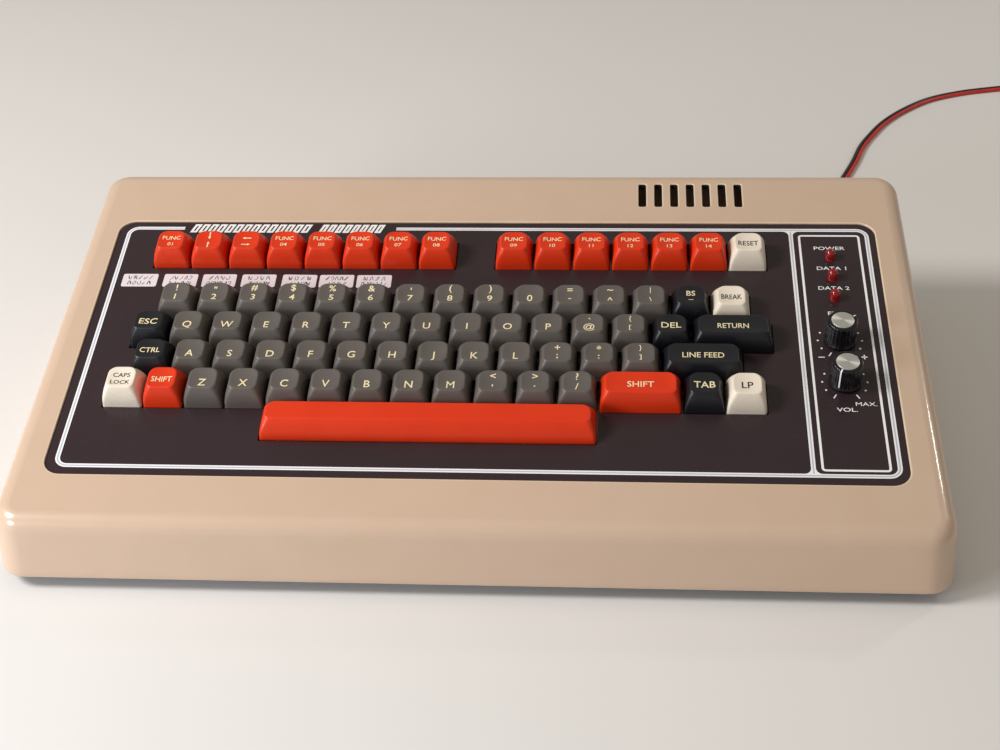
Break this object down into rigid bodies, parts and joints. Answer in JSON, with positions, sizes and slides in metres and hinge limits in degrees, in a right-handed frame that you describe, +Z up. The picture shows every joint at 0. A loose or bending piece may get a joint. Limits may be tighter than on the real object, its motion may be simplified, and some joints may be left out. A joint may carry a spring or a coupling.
{
  "type": "communications terminal",
  "caption": "Wedge-shaped desk-top keyboard console with sculpted keys, status lamps, two knobs, a rear connector bay and a two-core supply lead.",
  "frame": {"origin": "on the table, under the middle of the case", "axes": "+X to the right of someone typing, +Y to the rear, +Z up"},
  "size_m": [0.6163, 0.5107, 0.0802],
  "materials": {
    "case_plastic": "satin moulded cream",
    "tray_steel": "dark grey paint",
    "panel_brown": "glossy dark brown",
    "plate_steel": "zinc plated",
    "switch_black": "moulded",
    "circuit_board": "laminate",
    "wire_steel": "plated wire",
    "components": "mixed",
    "pillar_aluminium": "plain",
    "lamp_red": "tinted epoxy",
    "knob_black": "fluted",
    "disc_aluminium": "spun",
    "pot_steel": "plated",
    "switch_body": "moulded",
    "rocker_red": "moulded",
    "rear_steel": "grey paint",
    "sockets": "moulded and plated",
    "cord_rubber": "flexible",
    "lead_red_black": "flexible, one red and one black core",
    "plug_black": "moulded",
    "feet_rubber": "moulded",
    "screw_steel": "zinc plated",
    "key_red": "fine satin",
    "key_grey": "fine satin",
    "key_black": "fine satin",
    "key_cream": "fine satin"
  },
  "bodies": {
    "case": {"upper_case": "case_plastic", "base_tray": "tray_steel", "front_panel": "panel_brown", "keyboard_plate": "plate_steel", "switch_housings": "switch_black", "keyboard_board": "circuit_board", "main_board": "circuit_board", "board_components": "components", "support_pillars": "pillar_aluminium", "speaker": "switch_black", "control_board": "circuit_board", "status_lamps": "lamp_red", "control_pots": "pot_steel", "power_switch": "switch_body", "rear_panel": "rear_steel", "rear_sockets": "sockets", "cord_grommet": "cord_rubber", "supply_cord": "lead_red_black", "supply_cord_coil": "lead_red_black", "supply_plug": "plug_black", "rubber_feet": "feet_rubber", "case_screws": "screw_steel"},
    "fine_knob": {"fine_knob": "knob_black", "fine_knob_disc": "disc_aluminium"},
    "volume_knob": {"volume_knob": "knob_black", "volume_knob_disc": "disc_aluminium"},
    "power_rocker": {"power_rocker": "rocker_red"},
    "stabiliser": {"space_bar_wire": "wire_steel"},
    "space_bar": {"space_bar": "key_red"},
    "return_key": {"return_key": "key_black"},
    "right_shift_key": {"right_shift_key": "key_red"},
    "line_feed_key": {"line_feed_key": "key_black"},
    "left_shift_key": {"left_shift_key": "key_red"},
    "caps_lock_key": {"caps_lock_key": "key_cream"},
    "control_key": {"control_key": "key_black"},
    "escape_key": {"escape_key": "key_black"},
    "delete_key": {"delete_key": "key_black"},
    "backspace_key": {"backspace_key": "key_black"},
    "break_key": {"break_key": "key_cream"},
    "reset_key": {"reset_key": "key_cream"},
    "tab_key": {"tab_key": "key_black"},
    "print_key": {"print_key": "key_cream"},
    "function_key_1": {"function_key_1": "key_red"},
    "function_key_2": {"function_key_2": "key_red"},
    "function_key_3": {"function_key_3": "key_red"},
    "function_key_4": {"function_key_4": "key_red"},
    "function_key_5": {"function_key_5": "key_red"},
    "function_key_6": {"function_key_6": "key_red"},
    "function_key_7": {"function_key_7": "key_red"},
    "function_key_8": {"function_key_8": "key_red"},
    "function_key_9": {"function_key_9": "key_red"},
    "function_key_10": {"function_key_10": "key_red"},
    "function_key_11": {"function_key_11": "key_red"},
    "function_key_12": {"function_key_12": "key_red"},
    "function_key_13": {"function_key_13": "key_red"},
    "function_key_14": {"function_key_14": "key_red"},
    "digit_keys": {"digit_keys": "key_grey"},
    "upper_letter_keys": {"upper_letter_keys": "key_grey"},
    "home_letter_keys": {"home_letter_keys": "key_grey"},
    "lower_letter_keys": {"lower_letter_keys": "key_grey"}
  },
  "joints": [
    {"name": "fine_knob_turn", "type": "hinge", "parent": "case", "child": "fine_knob", "pos_m": [0.1676, -0.00316, 0.0575], "axis": [0, -0.1908, 0.9816], "range_deg": [-88, 212]},
    {"name": "volume_knob_turn", "type": "hinge", "parent": "case", "child": "volume_knob", "pos_m": [0.1676, -0.02908, 0.05246], "axis": [0, -0.1908, 0.9816], "range_deg": [-300, 0]},
    {"name": "power_rocker_tip", "type": "hinge", "parent": "case", "child": "power_rocker", "pos_m": [-0.148, 0.104, 0.032], "axis": [0, 0, 1], "range_deg": [-16, 0]},
    {"name": "space_bar_press", "type": "slide", "parent": "case", "child": "space_bar", "axis": [0, 0.1908, -0.9816], "range_m": [0, 0.0038], "stiffness_N_per_m": 200, "springref_m": -0.002},
    {"name": "stabiliser_turn", "type": "hinge", "parent": "case", "child": "stabiliser", "pos_m": [-0.02035, -0.04962, 0.04389], "axis": [1, 0, 0], "range_deg": [0, 27.5]},
    {"name": "return_key_press", "type": "slide", "parent": "case", "child": "return_key", "axis": [0, 0.1908, -0.9816], "range_m": [0, 0.0038], "stiffness_N_per_m": 150, "springref_m": -0.002},
    {"name": "right_shift_key_press", "type": "slide", "parent": "case", "child": "right_shift_key", "axis": [0, 0.1908, -0.9816], "range_m": [0, 0.0038], "stiffness_N_per_m": 150, "springref_m": -0.002},
    {"name": "line_feed_key_press", "type": "slide", "parent": "case", "child": "line_feed_key", "axis": [0, 0.1908, -0.9816], "range_m": [0, 0.0038], "stiffness_N_per_m": 150, "springref_m": -0.002},
    {"name": "left_shift_key_press", "type": "slide", "parent": "case", "child": "left_shift_key", "axis": [0, 0.1908, -0.9816], "range_m": [0, 0.0038], "stiffness_N_per_m": 150, "springref_m": -0.002},
    {"name": "caps_lock_key_press", "type": "slide", "parent": "case", "child": "caps_lock_key", "axis": [0, 0.1908, -0.9816], "range_m": [0, 0.0038], "stiffness_N_per_m": 150, "springref_m": -0.002},
    {"name": "control_key_press", "type": "slide", "parent": "case", "child": "control_key", "axis": [0, 0.1908, -0.9816], "range_m": [0, 0.0038], "stiffness_N_per_m": 150, "springref_m": -0.002},
    {"name": "escape_key_press", "type": "slide", "parent": "case", "child": "escape_key", "axis": [0, 0.1908, -0.9816], "range_m": [0, 0.0038], "stiffness_N_per_m": 150, "springref_m": -0.002},
    {"name": "delete_key_press", "type": "slide", "parent": "case", "child": "delete_key", "axis": [0, 0.1908, -0.9816], "range_m": [0, 0.0038], "stiffness_N_per_m": 150, "springref_m": -0.002},
    {"name": "backspace_key_press", "type": "slide", "parent": "case", "child": "backspace_key", "axis": [0, 0.1908, -0.9816], "range_m": [0, 0.0038], "stiffness_N_per_m": 150, "springref_m": -0.002},
    {"name": "break_key_press", "type": "slide", "parent": "case", "child": "break_key", "axis": [0, 0.1908, -0.9816], "range_m": [0, 0.0038], "stiffness_N_per_m": 150, "springref_m": -0.002},
    {"name": "reset_key_press", "type": "slide", "parent": "case", "child": "reset_key", "axis": [0, 0.1908, -0.9816], "range_m": [0, 0.0038], "stiffness_N_per_m": 150, "springref_m": -0.002},
    {"name": "tab_key_press", "type": "slide", "parent": "case", "child": "tab_key", "axis": [0, 0.1908, -0.9816], "range_m": [0, 0.0038], "stiffness_N_per_m": 150, "springref_m": -0.002},
    {"name": "print_key_press", "type": "slide", "parent": "case", "child": "print_key", "axis": [0, 0.1908, -0.9816], "range_m": [0, 0.0038], "stiffness_N_per_m": 150, "springref_m": -0.002},
    {"name": "function_key_1_press", "type": "slide", "parent": "case", "child": "function_key_1", "axis": [0, 0.1908, -0.9816], "range_m": [0, 0.0038], "stiffness_N_per_m": 150, "springref_m": -0.002},
    {"name": "function_key_2_press", "type": "slide", "parent": "case", "child": "function_key_2", "axis": [0, 0.1908, -0.9816], "range_m": [0, 0.0038], "stiffness_N_per_m": 150, "springref_m": -0.002},
    {"name": "function_key_3_press", "type": "slide", "parent": "case", "child": "function_key_3", "axis": [0, 0.1908, -0.9816], "range_m": [0, 0.0038], "stiffness_N_per_m": 150, "springref_m": -0.002},
    {"name": "function_key_4_press", "type": "slide", "parent": "case", "child": "function_key_4", "axis": [0, 0.1908, -0.9816], "range_m": [0, 0.0038], "stiffness_N_per_m": 150, "springref_m": -0.002},
    {"name": "function_key_5_press", "type": "slide", "parent": "case", "child": "function_key_5", "axis": [0, 0.1908, -0.9816], "range_m": [0, 0.0038], "stiffness_N_per_m": 150, "springref_m": -0.002},
    {"name": "function_key_6_press", "type": "slide", "parent": "case", "child": "function_key_6", "axis": [0, 0.1908, -0.9816], "range_m": [0, 0.0038], "stiffness_N_per_m": 150, "springref_m": -0.002},
    {"name": "function_key_7_press", "type": "slide", "parent": "case", "child": "function_key_7", "axis": [0, 0.1908, -0.9816], "range_m": [0, 0.0038], "stiffness_N_per_m": 150, "springref_m": -0.002},
    {"name": "function_key_8_press", "type": "slide", "parent": "case", "child": "function_key_8", "axis": [0, 0.1908, -0.9816], "range_m": [0, 0.0038], "stiffness_N_per_m": 150, "springref_m": -0.002},
    {"name": "function_key_9_press", "type": "slide", "parent": "case", "child": "function_key_9", "axis": [0, 0.1908, -0.9816], "range_m": [0, 0.0038], "stiffness_N_per_m": 150, "springref_m": -0.002},
    {"name": "function_key_10_press", "type": "slide", "parent": "case", "child": "function_key_10", "axis": [0, 0.1908, -0.9816], "range_m": [0, 0.0038], "stiffness_N_per_m": 150, "springref_m": -0.002},
    {"name": "function_key_11_press", "type": "slide", "parent": "case", "child": "function_key_11", "axis": [0, 0.1908, -0.9816], "range_m": [0, 0.0038], "stiffness_N_per_m": 150, "springref_m": -0.002},
    {"name": "function_key_12_press", "type": "slide", "parent": "case", "child": "function_key_12", "axis": [0, 0.1908, -0.9816], "range_m": [0, 0.0038], "stiffness_N_per_m": 150, "springref_m": -0.002},
    {"name": "function_key_13_press", "type": "slide", "parent": "case", "child": "function_key_13", "axis": [0, 0.1908, -0.9816], "range_m": [0, 0.0038], "stiffness_N_per_m": 150, "springref_m": -0.002},
    {"name": "function_key_14_press", "type": "slide", "parent": "case", "child": "function_key_14", "axis": [0, 0.1908, -0.9816], "range_m": [0, 0.0038], "stiffness_N_per_m": 150, "springref_m": -0.002},
    {"name": "digit_keys_press", "type": "slide", "parent": "case", "child": "digit_keys", "axis": [0, 0.1908, -0.9816], "range_m": [0, 0.0038], "stiffness_N_per_m": 1950, "springref_m": -0.002},
    {"name": "upper_letter_keys_press", "type": "slide", "parent": "case", "child": "upper_letter_keys", "axis": [0, 0.1908, -0.9816], "range_m": [0, 0.0038], "stiffness_N_per_m": 1800, "springref_m": -0.002},
    {"name": "home_letter_keys_press", "type": "slide", "parent": "case", "child": "home_letter_keys", "axis": [0, 0.1908, -0.9816], "range_m": [0, 0.0038], "stiffness_N_per_m": 1800, "springref_m": -0.002},
    {"name": "lower_letter_keys_press", "type": "slide", "parent": "case", "child": "lower_letter_keys", "axis": [0, 0.1908, -0.9816], "range_m": [0, 0.0038], "stiffness_N_per_m": 1500, "springref_m": -0.002}
  ],
  "couplings": [
    {"joint": "stabiliser_turn", "follows": "space_bar_press", "rad_per_m": 126.21}
  ]
}
